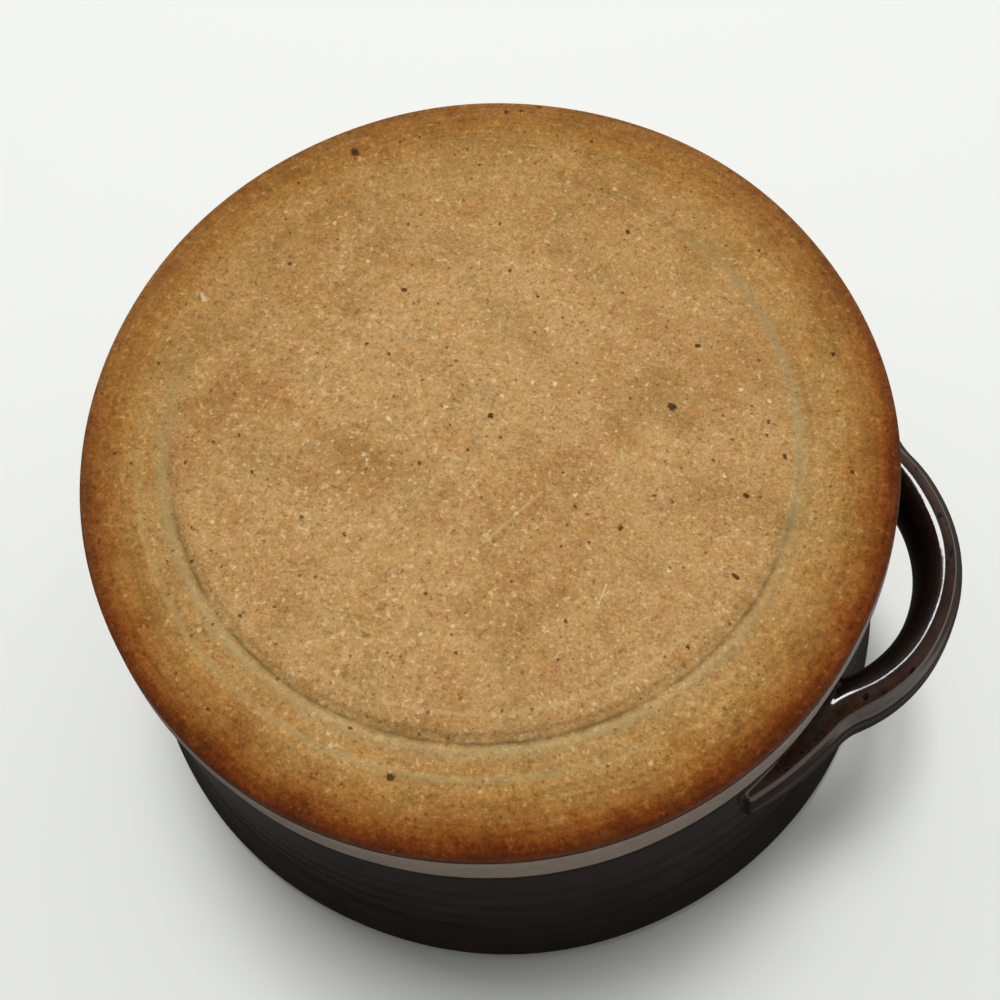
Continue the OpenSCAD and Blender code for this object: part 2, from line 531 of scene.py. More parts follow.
    def _paint_ring_shade_and_highlight(self, clay: Surface, colour: NodeSocket) -> NodeSocket:
        """Paints the shade and highlight of the groove as darker and paler lines, each clearest on one side, along
        the same path as the turned ring.

        Args:
            clay: the nodes.
            colour: colour so far.

        Returns:
            Colour with the rings.
        """
        x = clay.add("SeparateXYZ", (clay.outward,), "X")
        bend = clay.add("Math", (x, 2 * RING_OVAL * MM, -RING_SHIFT * MM), operation="MULTIPLY_ADD")
        path = clay.add("Math", (x, bend, (RING_R - RING_OVAL) * MM), operation="MULTIPLY_ADD")
        gap = clay.add("Math", (clay.radius, path), operation="SUBTRACT")
        cloud = clay.add("TexNoise", {"Vector": clay.grain, "Scale": 1 / (self.ring_patch * MM), **Noise.CLOUD.value})
        patchy = clay.add("MapRange", (cloud, *self.ring_patchy))
        fray = clay.add("TexNoise", {"Vector": clay.grain, "Scale": 1 / (self.ring_fray * MM), **Noise.GRIT.value})
        for ring in self.ring_shade_and_highlight:
            wide = ring.half_width * MM
            frays = ring.fray * wide
            stray = clay.add("Math", (fray, frays, -ring.offset * MM - frays / 2), operation="MULTIPLY_ADD")
            off = clay.add("Math", (gap, stray), operation="ADD")
            away = clay.add("Math", (off,), operation="ABSOLUTE")
            amount = clay.add("MapRange", (away, 0.0, wide, ring.strength, 0.0), interpolation_type="SMOOTHSTEP")
            for share in (clay.side(ring.facing, ring.fades), patchy):
                amount = clay.add("Math", (amount, share), operation="MULTIPLY")
            colour = clay.add("Mix", {0: amount, 6: colour, 7: ring.colour}, 2, data_type="RGBA")
        return colour

    def _marks(self, clay: Surface, colour: NodeSocket) -> NodeSocket:
        """Puts the large iron spots, the scratches and the chip in their places.

        Args:
            clay: the nodes.
            colour: colour so far.

        Returns:
            Colour with the marks.
        """
        fray = clay.add("TexNoise", {"Vector": clay.grain, "Scale": 1 / (self.mark_fray * MM), **Noise.GRIT.value})
        for mark in self.marks:
            start = Vector((*mark.start, 0)) * MM
            run = Vector((*mark.end, 0)) * MM - start
            wide = mark.radius * MM
            from_start = clay.add("VectorMath", (clay.flat, start), operation="SUBTRACT")
            dot = clay.add("VectorMath", (from_start, run), "Value", operation="DOT_PRODUCT")
            share = clay.add("Math", (dot, run.length_squared), operation="DIVIDE", use_clamp=True)
            foot = clay.add("VectorMath", {0: run, "Scale": share}, operation="SCALE")
            away = clay.add("VectorMath", (from_start, foot), "Value", operation="DISTANCE")
            frayed = clay.add("Math", (fray, mark.fray * wide, away), operation="MULTIPLY_ADD")
            solid, gone = (share * wide for share in mark.fades)
            inside = clay.add(
                "MapRange", (frayed, solid, gone, mark.strength, 0.0), interpolation_type="SMOOTHSTEP"
            )
            colour = clay.add("Mix", {0: inside, 6: colour, 7: mark.colour}, 2, data_type="RGBA")
        return colour


@dataclass(frozen=True)
class IronGlaze:
    """Dark iron glaze, poured and fired to a gloss: near black where it lies thick, rust where it thins.

    Args:
        name: the material's name.
        thin: pairs of height and half height, in millimetres, where the glaze thins over an edge.
        satin_below: height under which the coat is thin and satin, in millimetres.
        ear: middle and radius of the handle's ear, in millimetres, outside of which the glaze thins; inside it the
            colour stays dark as painted shade between strap and wall.

    The other sizes are in millimetres too. The satin coat ends in a line that strays up and down and fades.
    """

    name: str
    thin: tuple[Point, ...] = ()
    satin_below: float = -10.0
    ear: Point | None = None
    patch: float = 7.0
    drift_fades: Point = (0.35, 0.7)
    grain: float = 1.2
    grain_patchy: Fade = (0.36, 0.58, 0.15, 1.0)
    line_stray: float = 2.0
    line_fades: Point = (-0.5, 1.3)
    worn: float = 0.22
    edge_core: float = 0.2
    edge_strength: float = 0.9
    ear_fades: Point = (-0.9, 0.5)
    ear_reach: Point = (60.0, 66.0)
    ear_least: float = 0.9
    streak_gap: float = 1.5
    streak_long: float = 0.12
    streak_fades: Point = (0.45, 0.68)
    streak_strength: float = 0.5
    ripple: float = 2.6
    ripple_deep: float = 0.2
    ripple_strength: float = 0.1
    ior: float = 1.52
    thick: str = "#120C09"
    drift: str = "#20150E"
    rust: str = "#4A2E1E"
    # Colour of the thin satin coat on the foot band: the coat's own lighter tone, raised further as painted sheen
    lean: str = "#85776A"
    # Pale streaks on the strap's outer face: partly glaze run thin, partly painted reflection of the cloth
    streak_and_reflection: str = "#4E3D31"
    gloss: float = 0.07
    satin: float = 0.36
    rough_stray: float = 0.05
    specks: tuple[Speck, ...] = (
        Speck(0.8, 0.42, 0.40, "#38251A", 0.45),
        Speck(1.3, 0.55, 0.45, "#0B0807", 0.85),
        Speck(2.6, 0.9, 0.35, "#080605", 0.9),
    )

    def material(self) -> Material:
        """Builds the finish.

        Returns:
            The node material.
        """
        coat = Surface(self.name)
        cloud = coat.add("TexNoise", {"Vector": coat.grain, "Scale": 1 / (self.patch * MM), **Noise.CLOUD.value})
        grain = coat.add("TexNoise", {"Vector": coat.grain, "Scale": 1 / (self.grain * MM), **Noise.DUST.value})
        drift = coat.add("MapRange", (cloud, *self.drift_fades))
        patchy = coat.add("MapRange", (grain, *self.grain_patchy))
        colour = coat.add("Mix", {0: drift, 6: self.thick, 7: self.drift}, 2, data_type="RGBA")
        colour = self._edges(coat, patchy, colour)
        if self.ear:
            colour = self._streaks_and_reflection(coat, colour)
        for speck in self.specks:
            colour = coat.scatter(colour, speck)
        run = coat.add("Math", (cloud, self.line_stray * MM, coat.height), operation="MULTIPLY_ADD")
        line = ((self.satin_below + fade) * MM for fade in self.line_fades)
        above = coat.add("MapRange", (run, *line), interpolation_type="SMOOTHSTEP")
        worn = coat.add("Math", (patchy, self.worn), operation="MULTIPLY")
        # Under the satin line the coat takes the lean colour, which is partly painted sheen
        low = coat.add("Mix", {0: worn, 6: self.lean, 7: colour}, 2, data_type="RGBA")
        colour = coat.add("Mix", {0: above, 6: low, 7: colour}, 2, data_type="RGBA")
        dull = coat.add("MapRange", (above, 0.0, 1.0, self.satin, self.gloss))
        rough = coat.add("Math", (cloud, self.rough_stray, dull), operation="MULTIPLY_ADD")
        ripple = coat.add("TexNoise", {"Vector": coat.grain, "Scale": 1 / (self.ripple * MM), **Noise.RIPPLE.value})
        shading = {"Base Color": colour, "Roughness": rough, "IOR": self.ior}
        return coat.finish(shading, ripple, self.ripple_strength, self.ripple_deep)

    def _edges(self, coat: Surface, patchy: NodeSocket, colour: NodeSocket) -> NodeSocket:
        """Breaks the glaze to rust where it thins over an edge.

        Args:
            coat: the nodes.
            patchy: share of the rust, by place.
            colour: colour so far.

        Returns:
            Colour with the thin edges.
        """
        for middle, half in self.thin:
            gap = coat.add("Math", (coat.height, middle * MM), operation="SUBTRACT")
            away = coat.add("Math", (gap,), operation="ABSOLUTE")
            reach = (self.edge_core * half * MM, half * MM)
            edge = coat.add("MapRange", (away, *reach, self.edge_strength, 0.0), interpolation_type="SMOOTHSTEP")
            amount = coat.add("Math", (edge, patchy), operation="MULTIPLY")
            # On the handle the rust stays off the inner side of the ear: painted shade between strap and wall
            if self.ear:
                amount = coat.add("Math", (amount, self._outside_painted_shade(coat)), operation="MULTIPLY")
            colour = coat.add("Mix", {0: amount, 6: colour, 7: self.rust}, 2, data_type="RGBA")
        return colour

    def _outside_painted_shade(self, coat: Surface) -> NodeSocket:
        """Works out by how much a place is on the outer side of the ear, where the rust and streaks go; the inner
        side stays dark as painted shade between strap and wall.

        Args:
            coat: the nodes.

        Returns:
            Share from 0 inside the ear to 1 outside it, a little less at the tip of the ear.
        """
        middle, radius = self.ear
        from_middle = coat.add("VectorMath", (coat.flat, (middle * MM, 0, 0)), "Value", operation="DISTANCE")
        fades = ((radius + fade) * MM for fade in self.ear_fades)
        outer = coat.add("MapRange", (from_middle, *fades), interpolation_type="SMOOTHSTEP")
        start, tip = (reach * MM for reach in self.ear_reach)
        clear = coat.add("MapRange", (coat.radius, start, tip, 1.0, self.ear_least))
        return coat.add("Math", (outer, clear), operation="MULTIPLY")

    def _streaks_and_reflection(self, coat: Surface, colour: NodeSocket) -> NodeSocket:
        """Draws pale streaks along the outer face of the strap: painted reflection of the cloth along the pulled
        ridges, as well as glaze that runs thin off them.

        Args:
            coat: the nodes.
            colour: colour so far.

        Returns:
            Streaked colour.
        """
        drawn_out = (self.streak_long, self.streak_long, 1.0)
        lengthwise = coat.add("VectorMath", (coat.grain, drawn_out), operation="MULTIPLY")
        bands = coat.add("TexNoise", {"Vector": lengthwise, "Scale": 1 / (self.streak_gap * MM), **Noise.GRIT.value})
        amount = coat.add("MapRange", (bands, *self.streak_fades, 0.0, self.streak_strength))
        amount = coat.add("Math", (amount, self._outside_painted_shade(coat)), operation="MULTIPLY")
        return coat.add("Mix", {0: amount, 6: colour, 7: self.streak_and_reflection}, 2, data_type="RGBA")


@dataclass(frozen=True)
class FiredSlip:
    """Fired slip between handle and wall: matt, pale and fine."""

    name: str = "slip_fired"
    pale: str = "#CDB48C"
    deep: str = "#B39468"
    rough: float = 0.9
    patch: float = 1.5
    patch_deep: float = 0.1
    patch_strength: float = 0.2

    def material(self) -> Material:
        """Builds the finish.

        Returns:
            The node material.
        """
        slip = Surface(self.name)
        cloud = slip.add("TexNoise", {"Vector": slip.grain, "Scale": 1 / (self.patch * MM), **Noise.SOFT.value})
        colour = slip.add("Mix", {0: cloud, 6: self.pale, 7: self.deep}, 2, data_type="RGBA")
        shading = {"Base Color": colour, "Roughness": self.rough}
        return slip.finish(shading, cloud, self.patch_strength, self.patch_deep)


def smooth(low: float, high: float, value: float) -> float:
    """Eases from 0 at low to 1 at high."""
    t = min(1.0, max(0.0, (value - low) / (high - low)))
    return t * t * (3 - 2 * t)


def arc(centre: Point, radius: float, start: float, end: float, count: int) -> list[Point]:
    """Points along an arc.

    Args:
        centre: middle of the arc.
        radius: its radius.
        start: first angle, in degrees.
        end: last angle, in degrees.
        count: number of steps.

    Returns:
        The points, both ends included.
    """
    angles = [math.radians(start + (end - start) * i / count) for i in range(count + 1)]
    return [(centre[0] + radius * math.cos(a), centre[1] + radius * math.sin(a)) for a in angles]


def straight(start: Point, end: Point, step: float) -> list[Point]:
    """Points along a line, about a step apart.

    Args:
        start: first point.
        end: last point, which is left out.
        step: longest distance between points.

    Returns:
        The points, without the last one.
    """
    count = max(1, math.ceil(math.dist(start, end) / step))
    return [tuple(a + (b - a) * i / count for a, b in zip(start, end)) for i in range(count)]


def offset(path: list[Point], distance: float) -> list[Point]:
    """Moves a path sideways, to its right.

    Args:
        path: points of the path.
        distance: how far to move it.

    Returns:
        The moved points.
    """
    moved = []
    for i, (x, z) in enumerate(path):
        before, after = path[max(0, i - 1)], path[min(len(path) - 1, i + 1)]
        dx, dz = after[0] - before[0], after[1] - before[1]
        length = math.hypot(dx, dz)
        moved.append((x + distance * dz / length, z - distance * dx / length))
    return moved


def settle() -> None:
    """Goes back to object mode with nothing selected."""
    if bpy.context.object and bpy.context.object.mode != "OBJECT":
        bpy.ops.object.mode_set(mode="OBJECT")
    bpy.ops.object.select_all(action="DESELECT")


def pick(piece: Object, *others: Object) -> None:
    """Selects pieces alone, with the first one active.

    Args:
        piece: the active piece.
        others: the pieces that are selected with it.
    """
    settle()
    for chosen in (piece, *others):
        chosen.select_set(True)
    bpy.context.view_layer.objects.active = piece


def edit(piece: Object) -> None:
    """Opens one piece alone for editing, with all of it selected.

    Args:
        piece: the piece to work.
    """
    pick(piece)
    bpy.ops.object.mode_set(mode="EDIT")
    bpy.ops.mesh.select_all(action="SELECT")


def begin(name: str, size: float) -> Object:
    """Starts a piece from a square plane at the origin, and opens it for editing.

    Args:
        name: the piece's name.
        size: side of the plane, in metres.

    Returns:
        The piece.
    """
    settle()
    bpy.ops.mesh.primitive_plane_add(size=size)
    piece = bpy.context.object
    piece.name = piece.data.name = name
    edit(piece)
    return piece


def close() -> None:
    """Ends the editing of a closed piece, with its faces outwards."""
    bpy.ops.mesh.select_all(action="SELECT")
    bpy.ops.mesh.normals_make_consistent(inside=False)
    settle()


def apply(piece: Object, modifier: Modifier) -> None:
    """Applies one modifier of a piece."""
    pick(piece)
    bpy.ops.object.modifier_apply(modifier=modifier.name)


def turned(name: str, profile: list[Point], steps: int) -> Object:
    """Turns a profile round the bowl's axis, as on the wheel.

    Args:
        name: the piece's name.
        profile: radius and height of each point, in millimetres.
        steps: number of steps round the axis.

    Returns:
        The closed piece.
    """
    piece = begin(name, MM)
    bpy.ops.mesh.merge(type="CENTER")
    bpy.ops.transform.translate(value=(profile[0][0] * MM, 0, profile[0][1] * MM))
    for (x0, z0), (x1, z1) in zip(profile, profile[1:]):
        bpy.ops.mesh.extrude_vertices_move(TRANSFORM_OT_translate={"value": ((x1 - x0) * MM, 0, (z1 - z0) * MM)})
    bpy.ops.mesh.select_all(action="SELECT")
    bpy.ops.mesh.spin(steps=steps, angle=math.tau, center=(0, 0, 0), axis=(0, 0, 1))
    bpy.ops.mesh.select_all(action="SELECT")
    bpy.ops.mesh.remove_doubles(threshold=SAME_POINT)
    close()
    return piece


def relief(piece: Object, axis: Axis, height: float, weight: Weight) -> None:
    """Raises or sinks a surface where a weight says so.

    Args:
        piece: the piece to work.
        axis: the direction of the move.
        height: the full move in millimetres, below zero to sink.
        weight: share of the move, from radius, azimuth in radians and height, in millimetres.
    """
    group = piece.vertex_groups.new(name="relief")
    for vertex in piece.data.vertices:
        x, y, z = (c / MM for c in vertex.co)
        share = weight(math.hypot(x, y), math.atan2(y, x), z)
        if share > LEAST_SHARE:
            group.add([vertex.index], min(1.0, share), "REPLACE")
    modifier = piece.modifiers.new("relief", "DISPLACE")
    modifier.direction = axis.value
    modifier.mid_level = 0.0
    modifier.strength = height * MM
    modifier.vertex_group = group.name
    apply(piece, modifier)
    piece.vertex_groups.clear()


def wander(piece: Object, size: float, amount: float) -> None:
    """Lets a piece stray from true, as a hand leaves it.

    The stray depends on place alone, so pieces that touch keep touching.

    Args:
        piece: the piece to work.
        size: width of a swelling, in millimetres.
        amount: the whole range of the move, in millimetres.
    """
    texture = bpy.data.textures.new("hand", "CLOUDS")
    texture.cloud_type = "COLOR"
    texture.noise_scale = size * MM
    texture.noise_depth = 0
    modifier = piece.modifiers.new("hand", "DISPLACE")
    modifier.texture = texture
    modifier.texture_coords = "LOCAL"
    modifier.direction = "RGB_TO_XYZ"
    modifier.mid_level = 0.5
    modifier.strength = amount * MM
    apply(piece, modifier)


def dress(piece: Object, material: Material, slot: str, *nodes: str) -> Object:
    """Gives a new piece its finish and its place on the bowl, and hides the solids that it stands for.

    Args:
        piece: the new piece.
        material: its finish.
        slot: the record's material slot; not used.
        nodes: the solids that it replaces.

    Returns:
        The same piece.
    """
    pick(piece)
    bpy.ops.object.shade_smooth_by_angle(angle=math.radians(SMOOTH_BELOW))
    settle()
    piece.data.materials.clear()
    piece.data.materials.append(material)
    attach(piece, ROOT)
    if nodes:
        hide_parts(*nodes)
    LOG.info("%s: %d faces", piece.name, len(piece.data.polygons))
    return piece


@dataclass
class ThrownBowl:
    """The thrown and trimmed bowl with its two coats of glaze. Sizes are in millimetres, as in the part's source.

    Pairs named from and to are the places between which a relief comes in and goes out. Sides are azimuths in degrees
    on which a line is deepest, fades are cosines of the angle from there, and even is the share that all sides have.
    The bead is the thin lower edge of the glaze: pairs of a height over its line and a share of its thickness. The
    waves of that line are a share of its waver, a count round the bowl and a start in radians.
    """

    base_d: float = 107.0
    rim_d: float = 130.0
    bowl_h: float = 64.0
    wall_t: float = 5.0
    floor_t: float = 6.5
    corner_r: float = 12.0
    lip_r: float = 2.9
    lip_turn: float = 30.0
    flare_r: float = 25.0
    ring_r: float = 41.0
    ring_w: float = 2.4
    ring_deep: float = 0.5
    bevel_a: float = 9.0
    bevel_rise: float = 0.4
    edge_r: float = 1.0
    band_h: float = 14.0
    band_lean: float = 4.5
    crease_h: float = 1.0
    crease_deep: float = 0.35
    glaze_t: float = 0.5
    glaze_line: float = 3.0
    glaze_lap: float = 0.4
    bead: tuple[Point, ...] = ((0.0, 0.3), (0.25, 0.62), (0.9, 0.9))
    bead_h: float = 1.4
    line_waver: float = 0.7
    waver_h: float = 2.2
    waves: tuple[Place, ...] = ((0.25, 3, 1.1), (0.15, 7, 0.0), (0.1, 17, 2.0))
    crease_share: float = 0.4
    lip_skip: float = 6.0
    ring_below: float = 0.3
    ring_side: float = 90.0
    ring_even: float = 0.56
    tool_below: float = 0.6
    tool_deep: float = 0.14
    tool_gap: float = 1.3
    tool_from: Point = (46.3, 47.5)
    tool_side: float = -10.0
    tool_fades: Point = (-0.3, 0.8)
    tool_even: float = 0.35
    tool_share: float = 0.6
    tool_waver: float = 0.4
    second_r: float = 45.4
    second_half: float = 0.8
    second_side: float = 85.0
    second_fades: Point = (-0.2, 0.7)
    second_share: float = 0.9
    throw_deep: float = 0.12
    throw_gap: float = 7.5
    throw_from: Point = (18.0, 26.0)
    throw_to: Point = (46.0, 54.0)
    finger_deep: float = 0.28
    finger_gap: float = 8.5
    finger_from: Point = (6.0, 16.0)
    finger_to: Point = (50.0, 57.0)
    finger_over: float = 0.2
    fine_margin: float = 4.0
    base_step: float = 2.0
    fine_step: float = 0.3
    covered_step: float = 4.0
    inside_step: float = 5.0
    coat_step: float = 1.6
    edge_steps: int = 10
    flare_steps: int = 14
    lip_steps: int = 24
    lip_in_steps: int = 16
    corner_steps: int = 20
    steps: int = 256

    def __post_init__(self) -> None:
        """Works out where the tangent lines and arcs of the profile meet."""
        bevel, lean = math.radians(self.bevel_a), math.radians(self.band_lean)
        self.edge_c: Point = (self.base_d / 2 - self.edge_r, self.bevel_rise + self.edge_r * math.cos(bevel))
        self.bevel_r = self.edge_c[0] + self.edge_r * math.sin(bevel) - self.bevel_rise / math.tan(bevel)
        self.band_foot: Point = (
            self.edge_c[0] + self.edge_r * math.cos(lean),
            self.edge_c[1] - self.edge_r * math.sin(lean),
        )
        self.band_top = self.band_at(self.band_h)
        self.wall_foot: Point = (
            self.band_top[0] + self.crease_h * math.tan(lean),
            self.band_top[1] + self.crease_h,
        )
        inset = self.glaze_t + self.lip_r
        self.lip_c: Point = (self.rim_d / 2 - inset, self.bowl_h - inset)
        turn = math.radians(self.lip_turn)
        reach = self.lip_r + self.flare_r
        self.flare_c: Point = (self.lip_c[0] + reach * math.cos(turn), self.lip_c[1] - reach * math.sin(turn))
        dx, dz = self.flare_c[0] - self.wall_foot[0], self.flare_c[1] - self.wall_foot[1]
        self.wall_lean = math.degrees(math.atan2(dx, dz) - math.asin(self.flare_r / math.hypot(dx, dz)))
        inner_x = self.wall_foot[0] - self.wall_t / math.cos(math.radians(self.wall_lean))
        dx, dz = self.lip_c[0] - inner_x, self.lip_c[1] - self.wall_foot[1]
        self.inner_lean = math.degrees(math.atan2(dx, dz) - math.asin(self.lip_r / math.hypot(dx, dz)))
        slope = math.radians(self.inner_lean)
        corner_z = self.floor_t + self.corner_r
        corner_x = inner_x + (corner_z - self.wall_foot[1]) * math.tan(slope) - self.corner_r / math.cos(slope)
        self.corner_c: Point = (corner_x, corner_z)

    def band_at(self, height: float) -> Point:
        """Point of the bare foot band at a height."""
        return self.band_foot[0] + (height - self.band_foot[1]) * math.tan(math.radians(self.band_lean)), height

    def wall_at(self, height: float) -> float:
        """Radius of the bare wall at a height."""
        return self.wall_foot[0] + (height - self.wall_foot[1]) * math.tan(math.radians(self.wall_lean))

    def outer_path(self, start: float, step: float) -> list[Point]:
        """Outside of the clay from the foot band to the top of the lip.

        Args:
            start: height of the first point.
            step: longest distance between points on the straight stretches.

        Returns:
            Points in millimetres.
        """
        crease = (self.band_top[0] - self.crease_deep, self.band_top[1] + self.crease_h * self.crease_share)
        flare = arc(self.flare_c, self.flare_r, 180 - self.wall_lean, 180 - self.lip_turn, self.flare_steps)
        return [
            *straight(self.band_at(start), self.band_top, step),
            self.band_top,
            crease,
            *straight(self.wall_foot, flare[0], step),
            *flare,
            *arc(self.lip_c, self.lip_r, -self.lip_turn + self.lip_skip, 90, self.lip_steps),
        ]

    def inner_path(self, step: float) -> list[Point]:
        """Inside of the clay from the top of the lip to the middle of the floor.

        Args:
            step: longest distance between points on the straight stretches.

        Returns:
            Points in millimetres.
        """
        lip = arc(self.lip_c, self.lip_r, 90, 180 - self.inner_lean, self.lip_in_steps)
        corner = arc(self.corner_c, self.corner_r, -self.inner_lean, -90, self.corner_steps)
        floor = straight(corner[-1], (0, self.floor_t), step)
        return [*lip[:-1], *straight(lip[-1], corner[0], step), *corner, *floor[1:]]

    def build_clay(self, material: Material) -> Object:
        """Throws the clay bowl and trims its base.

        Args:
            material: finish of the bare clay.

        Returns:
            The dressed piece.
        """
        plain_r = self.ring_r - self.fine_margin
        edge = arc(self.edge_c, self.edge_r, self.bevel_a - 90, -self.band_lean, self.edge_steps)
        profile = [
            *straight((0, 0), (plain_r, 0), self.base_step),
            *straight((plain_r, 0), (self.bevel_r, 0), self.fine_step),
            *straight((self.bevel_r, 0), edge[0], self.fine_step),
            *edge,
            *self.outer_path(self.glaze_line - self.glaze_lap, self.covered_step),
            *self.inner_path(self.inside_step)[1:],
            (0, self.floor_t),
        ]
        piece = turned("thrown_clay_bowl", profile, self.steps)
        relief(piece, Axis.UP, self.ring_deep, self._ring)
        relief(piece, Axis.UP, self.tool_deep, self._tool_lines)
        wander(piece, HAND_SIZE, HAND_STRAY)
        return dress(piece, material, "stoneware", "bowl_body")

    def _ring(self, radius: float, azimuth: float, height: float) -> float:
        """Works out the turned ring, deepest on one side.

        Args:
            radius: distance from the axis.
            azimuth: angle from the handle, in radians.
            height: height over the base.

        Returns:
            Share from 0 to 1.
        """
        if height > self.ring_below:
            return 0.0
        middle = RING_R + RING_OVAL * math.cos(2 * azimuth) - RING_SHIFT * math.cos(azimuth)
        hollow = 1 - ((radius - middle) / (self.ring_w / 2)) ** 2
        facing = math.cos(azimuth - math.radians(self.ring_side))
        return max(0.0, hollow) * (self.ring_even + (1 - self.ring_even) * facing)

    def _tool_lines(self, radius: float, azimuth: float, height: float) -> float:
        """Works out the fine lines near the edge of the base, and the second ring.

        Args:
            radius: distance from the axis.
            azimuth: angle from the handle, in radians.
            height: height over the base.

        Returns:
            Share from 0 to 1.
        """
        if height > self.tool_below:
            return 0.0
        side = smooth(*self.tool_fades, math.cos(azimuth - math.radians(self.tool_side)))
        waver = self.tool_waver * math.sin(3 * azimuth)
        fine = smooth(*self.tool_from, radius) * max(0.0, math.sin(radius * math.tau / self.tool_gap + waver))
        fine *= self.tool_share * (self.tool_even + (1 - self.tool_even) * side)
        facing = smooth(*self.second_fades, math.cos(azimuth - math.radians(self.second_side)))
        second = max(0.0, 1 - ((radius - self.second_r) / self.second_half) ** 2) * facing
        return max(fine, self.second_share * second)

    def build_wall_glaze(self, material: Material) -> Object:
        """Pours the glaze over the outside, from the line above the base to the top of the lip.

        Args:
            material: finish of the coat.

        Returns:
            The dressed piece.
        """
        clay = self.outer_path(self.glaze_line, self.coat_step)
        bead = [self.band_at(self.glaze_line + rise) for rise, _ in self.bead]
        path = [*bead, *(p for p in clay if p[1] > self.glaze_line + self.bead_h)]
        coat = offset(path, self.glaze_t)
        for i, (_, share) in enumerate(self.bead):
            coat[i] = tuple(p + (q - p) * share for p, q in zip(path[i], coat[i]))
        coat[-1] = (path[-1][0], path[-1][1] + self.glaze_t)
        piece = turned("wall_glaze_coat", [*coat, *reversed(path), coat[0]], self.steps)
        relief(piece, Axis.UP, self.line_waver, self._glaze_line)
        relief(piece, Axis.OUT, self.throw_deep, self._throwing_rings)
        wander(piece, HAND_SIZE, HAND_STRAY)
        return dress(piece, material, "iron_glaze", "outer_glaze")

    def _glaze_line(self, radius: float, azimuth: float, height: float) -> float:
        """Works out by how much the lower edge of the glaze wavers upwards.

        Args:
            radius: distance from the axis; not used.
            azimuth: angle from the handle, in radians.
            height: height over the base.

        Returns:
            Share from 0 to 1.
        """
        wave = sum((share * math.sin(count * azimuth + start) for share, count, start in self.waves), 0.5)
        return wave * (1 - smooth(self.glaze_line, self.glaze_line + self.waver_h, height))

    def _throwing_rings(self, radius: float, azimuth: float, height: float) -> float:
        """Works out the soft rings that the fingers left in the wall.

        Args:
            radius: distance from the axis; not used.
            azimuth: angle from the handle, in radians.
            height: height over the base.

        Returns:
            Share from 0 to 1.
        """
        rise = smooth(*self.throw_from, height) * (1 - smooth(*self.throw_to, height))
        return rise * (0.5 + 0.5 * math.sin(height * math.tau / self.throw_gap + azimuth))

    def build_liner(self, material: Material) -> Object:
        """Pours the glaze over the inside, from the top of the lip to the floor.

        Args:
            material: finish of the coat.

        Returns:
            The dressed piece.
        """
        path = [*self.inner_path(self.coat_step), (0, self.floor_t)]
        coat = offset(path, self.glaze_t)
        coat[0] = (path[0][0], path[0][1] + self.glaze_t)
        coat[-1] = (0, self.floor_t + self.glaze_t)
        piece = turned("liner_glaze_coat", [*reversed(coat), *path], self.steps)
        relief(piece, Axis.OUT, self.finger_deep, self._finger_spiral)
        wander(piece, HAND_SIZE, HAND_STRAY)
        return dress(piece, material, "liner_glaze", "inner_glaze")

    def _finger_spiral(self, radius: float, azimuth: float, height: float) -> float:
        """Works out the spiral that the fingers left inside.

        Args:
            radius: distance from the axis.
            azimuth: angle from the handle, in radians.
            height: height over the base.

        Returns:
            Share from 0 to 1.
        """
        rise = height if height > self.corner_c[1] else radius - self.corner_c[0]
        along = rise - self.finger_gap * azimuth / math.tau
        fade = smooth(*self.finger_from, radius) * (1 - smooth(*self.finger_to, height))
        inside = 1.0 if height > self.floor_t + self.finger_over else 0.0
        return inside * fade * (0.5 + 0.5 * math.sin(along * math.tau / self.finger_gap))


